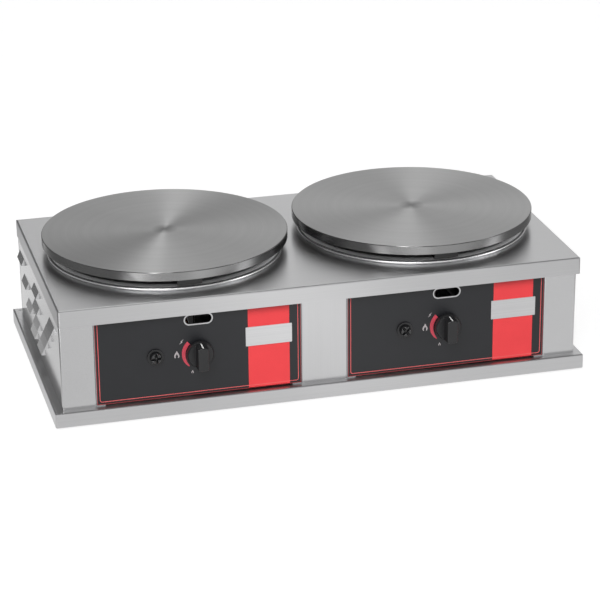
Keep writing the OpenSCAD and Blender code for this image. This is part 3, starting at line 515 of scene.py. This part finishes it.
def placed(outline, at, scale, turn):
    """An icon drawn in millimetres, scaled, turned and put beside the knob."""
    c, s = polar(scale * MM, math.radians(turn))
    return [(at[0] * MM + c * a - s * b, at[1] * MM + s * a + c * b) for a, b in outline]


def make_prints(side, sign):
    """Thin inks on one film: the red stripe, two lines, the crescent and the dial marks."""
    centre = (sign * AXIS_X, AXIS_Z)
    first = FILM_FACE - PRINT_T
    second = FILM_FACE - 2 * PRINT_T

    def put(name, outline, front, mat):
        name = "print_" + name + "_" + side
        add_piece(name, prism(outline, FILM_FACE, front, centre), mat, "casing")

    stripe = rectangle(STRIPE_AT - STRIPE_W / 2, FILM_BOTTOM, STRIPE_AT + STRIPE_W / 2, FILM_TOP)
    put("stripe", stripe, first, M_RED)
    put("border", frame_line(*BORDER_LINE), second, M_LINE)
    put("edge", frame_line(*EDGE_LINE), first, M_DARK_RED)
    put("crescent", crescent(), first, M_ROSE)
    for name, outline, at, scale, turn in ICONS:
        put(name, placed(outline, at, scale, turn), first, M_PALE)


for side, sign in SIDES:
    make_prints(side, sign)

# White mark along the top of each knob's grip bar, whose end face tapers from its root to its front

BAR_ROOT_R = 20.5 * MM
BAR_FRONT_R = 19.5 * MM
BAR_ROOT = 6 * MM
BAR_FRONT = 28 * MM
TICK_FROM = 9.6 * MM
TICK_TO = 27.4 * MM
TICK_W = 1.8 * MM
TICK_T = 0.12 * MM
TICK_ACROSS = (-1, -0.5, 0, 0.5, 1)


def bar_radius(depth):
    """Distance of the bar's end face from the knob axis, at a depth in front of the knob's back."""
    share = (depth - BAR_ROOT) / (BAR_FRONT - BAR_ROOT)
    return BAR_ROOT_R + (BAR_FRONT_R - BAR_ROOT_R) * share


def make_tick(side, sign):
    """A thin inlaid strip, crowned as the bar's end is."""
    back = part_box("knob_" + side)[1].y
    bm = bmesh.new()
    rings = []
    for depth in (TICK_FROM, (TICK_FROM + TICK_TO) / 2, TICK_TO):
        ring = []
        for lift, across in ((-TICK_T, TICK_ACROSS), (TICK_T / 2, TICK_ACROSS[::-1])):
            radius = bar_radius(depth) + lift
            for share in across:
                u = share * TICK_W / 2
                v = math.sqrt(radius ** 2 - u ** 2)
                ring.append(bm.verts.new((sign * AXIS_X + u, back - depth, AXIS_Z + v)))
        rings.append(ring)
    for low, high in zip(rings, rings[1:]):
        for i in range(len(low)):
            k = (i + 1) % len(low)
            bm.faces.new((low[i], low[k], high[k], high[i]))
    bm.faces.new(rings[0])
    bm.faces.new(rings[-1])
    add_piece("knob_tick_" + side, bm, M_WHITE, "knob_" + side)


for side, sign in SIDES:
    make_tick(side, sign)

# Igniter buttons: domed, with a cross moulded into the face; each is turned as it was screwed in, in degrees

BUTTON_EDGE = 2.4 * MM
BUTTON_CROWN = 1.0 * MM
GROOVE_DEPTH = 5.0 * MM
GROOVE_HALF = 1.5 * MM
BUTTON_RINGS = 22
BUTTON_STEPS = 96
BUTTON_TURN = {"left": 6.0, "right": 38.0}


def off_groove(distance):
    """0 in the middle of a groove, rising to 1 beside it."""
    return 1 - math.exp(-((distance / GROOVE_HALF) ** 2))


def button_depth(u, v, radius):
    """Depth of a button's face behind its foremost point, at a place on it."""
    reach = math.hypot(u, v)
    crown = BUTTON_CROWN * (reach / radius) ** 2
    past = max(reach - (radius - BUTTON_EDGE), 0.0) / BUTTON_EDGE
    edge = BUTTON_EDGE * (1 - math.sqrt(max(1 - past ** 2, 0.0)))
    groove = 1 - off_groove(u) * off_groove(v)
    return crown + edge + GROOVE_DEPTH * groove * (1 - past ** 2)


def make_button(side):
    """A cap in place of the plain button: rings from the middle of its face out, then a straight wall."""
    node = "igniter_button_" + side
    low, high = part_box(node)
    radius = (high.x - low.x) / 2
    middle = (low + high) / 2
    turn = math.radians(BUTTON_TURN[side])
    bm = bmesh.new()
    centre = bm.verts.new((middle.x, low.y + button_depth(0, 0, radius), middle.z))
    rings = []
    for i in range(1, BUTTON_RINGS + 1):
        reach = radius * math.sin(math.pi / 2 * i / BUTTON_RINGS)
        ring = []
        for k in range(BUTTON_STEPS):
            angle = 2 * math.pi * k / BUTTON_STEPS
            depth = button_depth(*polar(reach, angle), radius)
            across = polar(reach, angle + turn)
            ring.append(bm.verts.new((middle.x + across[0], low.y + depth, middle.z + across[1])))
        rings.append(ring)
    rings.append([bm.verts.new((v.co.x, high.y, v.co.z)) for v in rings[-1]])
    for k in range(BUTTON_STEPS):
        bm.faces.new((centre, rings[0][k], rings[0][(k + 1) % BUTTON_STEPS]))
    for inner, outer in zip(rings, rings[1:]):
        for k in range(BUTTON_STEPS):
            n = (k + 1) % BUTTON_STEPS
            bm.faces.new((inner[k], outer[k], outer[n], inner[n]))
    bm.faces.new(rings[-1])
    for face in bm.faces:
        face.smooth = len(face.verts) < BUTTON_STEPS
    piece = add_piece("igniter_cap_" + side, bm, M_BUTTON, node)
    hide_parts(node)


for side, _ in SIDES:
    make_button(side)

# Floor: its paint and its glow to the camera

FLOOR_HALF = 14.0
FLOOR_PAINT = (0.27, 0.29)
FLOOR_SPECK = 40.0
FLOOR_GLOW = 0.80

# Glow of the floor that metal mirrors: strips along Y, with the stretches of Y over which they change

FAR_GLOW = (0.16, 0.7)
FAR_RISE = (1.05, 1.5)
POOL_X = 0.06
POOL_HALF = (0.80, 0.585)
POOL_NARROWS = (-0.4, 0.0)
POOL_WIDER = 0.07
POOL_WIDENS = (0.25, 0.45)
POOL_FADES = (0.65, 1.2)
POOL_EDGE = 12.0
POOL_GLOW = 0.68
STREAK_X = 0.06
STREAK_HALF = 0.13
STREAK_FADES = (-0.8, -0.25)
STREAK_LEFT = 0.2
STREAK_EDGE = 4.0
STREAK_GLOW = 0.42
PATCH_X = -0.655
PATCH_HALF = 0.06
PATCH_FADES = (-0.55, -0.45)
PATCH_EDGE = 8.0
PATCH_GLOW = 2.4


def mirrored_glow(look):
    """What metal mirrors of the floor: a broad pool, a streak, a bright patch and a paler far floor."""
    place = look.parts(look.coords())

    def strip(middle, half, edge, bright, fades, left=0.0):
        """Light strip along Y with soft edges, which fades along Y to what is left of it."""
        across = look.hump(look.math("SUBTRACT", place["X"], middle), half, edge, bright)
        return look.math("MULTIPLY", across, look.span(place["Y"], *fades, 1.0, left))

    half = look.span(place["Y"], *POOL_NARROWS, *POOL_HALF)
    half = look.math("ADD", half, look.span(place["Y"], *POOL_WIDENS, 0.0, POOL_WIDER))
    pool = strip(POOL_X, half, POOL_EDGE, POOL_GLOW, POOL_FADES)
    streak = strip(STREAK_X, STREAK_HALF, STREAK_EDGE, STREAK_GLOW, STREAK_FADES, STREAK_LEFT)
    patch = strip(PATCH_X, PATCH_HALF, PATCH_EDGE, PATCH_GLOW, PATCH_FADES)
    far = look.span(look.math("ABSOLUTE", place["X"]), *FAR_RISE, *FAR_GLOW)
    return look.math("ADD", look.math("ADD", pool, far), look.math("ADD", streak, patch))


def make_floor():
    """White floor that keeps the object's shadow."""
    bm = bmesh.new()
    for x, y in rectangle(-FLOOR_HALF, -FLOOR_HALF, FLOOR_HALF, FLOOR_HALF):
        bm.verts.new((x, y, 0))
    bm.faces.new(bm.verts)
    mesh = bpy.data.meshes.new("floor")
    bm.to_mesh(mesh)
    bm.free()
    floor = bpy.data.objects.new("floor", mesh)
    bpy.context.scene.collection.objects.link(floor)
    look = Look("floor_white", Roughness=0.9, Specular_IOR_Level=0.0, Emission_Color=rgb(1.0))
    path = look.node("LightPath").outputs
    speck = look.noise(look.coords(), FLOOR_SPECK, detail=3.0, rough=0.5)
    paint = look.mix(speck, rgb(FLOOR_PAINT[0]), rgb(FLOOR_PAINT[1]))
    look.shade("Base Color", look.mix(path["Is Glossy Ray"], paint, rgb(0.0)))
    direct = look.math("MAXIMUM", path["Is Camera Ray"], path["Is Transmission Ray"])
    mirrored = look.math("MULTIPLY", path["Is Glossy Ray"], mirrored_glow(look))
    look.shade("Emission Strength", look.math("MAXIMUM", look.math("MULTIPLY", direct, FLOOR_GLOW), mirrored))
    floor.data.materials.append(look.mat)


# World: upright gores by heading in degrees, clockwise from the front, as heading, half width, level and edge

SKY_LOW = 0.12
BACK_GORE = (160.0, 16.0, 0.69, 3.0)
FRONT_GORES = (
    (-2.0, 36.0, 0.80, 10.0),
    (-43.0, 6.5, 2.6, 6.0),
    (66.0, 9.0, 2.4, 6.0),
    (-90.0, 42.0, 0.16, 8.0),
    (90.0, 42.0, 0.16, 8.0),
)
FRONT_FADES = (0.55, 0.8)

# Bands overhead, as offset across them, half width and level

BAND_ACROSS = (0.968, -0.25, 0.0)
BANDS = ((-0.10, 0.035, 3.3), (0.05, 0.03, 1.2), (0.30, 0.06, 0.3))
BAND_EDGE = 8.0
BAND_RISE = (0.5, 0.85)

# Round lamp high in front: heading and height in degrees, half width, softness of its edge, and level

HIGH_AT = (-22.0, 50.0)
HIGH_HALF = 7.0
HIGH_SOFT = 2.0
HIGH_LEVEL = 9.0


def make_world():
    """Grey studio: bright front between two softboxes, a gore behind, bands overhead; white to the camera."""
    world = bpy.data.worlds.new("studio")
    world.use_nodes = True
    sky = Nodes(world.node_tree)
    view = sky.node("TexCoord").outputs["Generated"]

    def towards(direction):
        return sky.vector("DOT_PRODUCT", view, direction)["Value"]

    def gore(heading, half, bright, edge):
        turn = math.radians(heading)
        ahead = towards((math.sin(turn), -math.cos(turn), 0))
        aside = towards((math.cos(turn), math.sin(turn), 0))
        return sky.hump(sky.math("ARCTAN2", aside, ahead), math.radians(half), edge, bright)

    up = towards(ALONG_Z)
    fore = gore(*FRONT_GORES[0])
    for slice_of_sky in FRONT_GORES[1:]:
        fore = sky.math("ADD", fore, gore(*slice_of_sky))
    fore = sky.math("MULTIPLY", fore, sky.span(up, *FRONT_FADES, 1.0, 0.0, smooth=True))
    level = sky.math("ADD", sky.math("ADD", gore(*BACK_GORE), fore), SKY_LOW)
    height = sky.span(up, *BAND_RISE, 0.0, 1.0, smooth=True)
    side = towards(BAND_ACROSS)
    for at, half, bright in BANDS:
        band = sky.hump(sky.math("SUBTRACT", side, at), half, BAND_EDGE, bright)
        level = sky.math("ADD", level, sky.math("MULTIPLY", band, height))
    turn, lift = (math.radians(angle) for angle in HIGH_AT)
    high = towards((math.sin(turn) * math.cos(lift), -math.cos(turn) * math.cos(lift), math.sin(lift)))
    rim = [math.cos(math.radians(HIGH_HALF + spread)) for spread in (HIGH_SOFT, -HIGH_SOFT)]
    level = sky.math("ADD", level, sky.span(high, *rim, 0.0, HIGH_LEVEL, smooth=True))
    level = sky.math("MAXIMUM", level, sky.node("LightPath").outputs["Is Camera Ray"])
    back = sky.tree.nodes["Background"]
    sky.feed(back.inputs["Color"], rgb(1.0))
    sky.feed(back.inputs["Strength"], level)
    bpy.context.scene.world = world


# Key lamp

KEY_AT = (-1.02, -2.24, 1.92)
KEY_AIM = (0, 0, 0.2)
KEY_SIZE = 1.4
KEY_POWER = 43


def make_key():
    """Soft lamp that lights paint and plastic; metal mirrors the studio and the floor instead."""
    data = bpy.data.lights.new("key", "AREA")
    data.shape = "RECTANGLE"
    data.size = data.size_y = KEY_SIZE
    data.energy = KEY_POWER
    light = bpy.data.objects.new("key", data)
    light.location = KEY_AT
    light.rotation_euler = (Vector(KEY_AIM) - Vector(KEY_AT)).to_track_quat("-Z", "Y").to_euler()
    light.visible_glossy = False
    bpy.context.scene.collection.objects.link(light)


make_floor()
make_world()
make_key()

bpy.context.scene.view_settings.view_transform = "Standard"
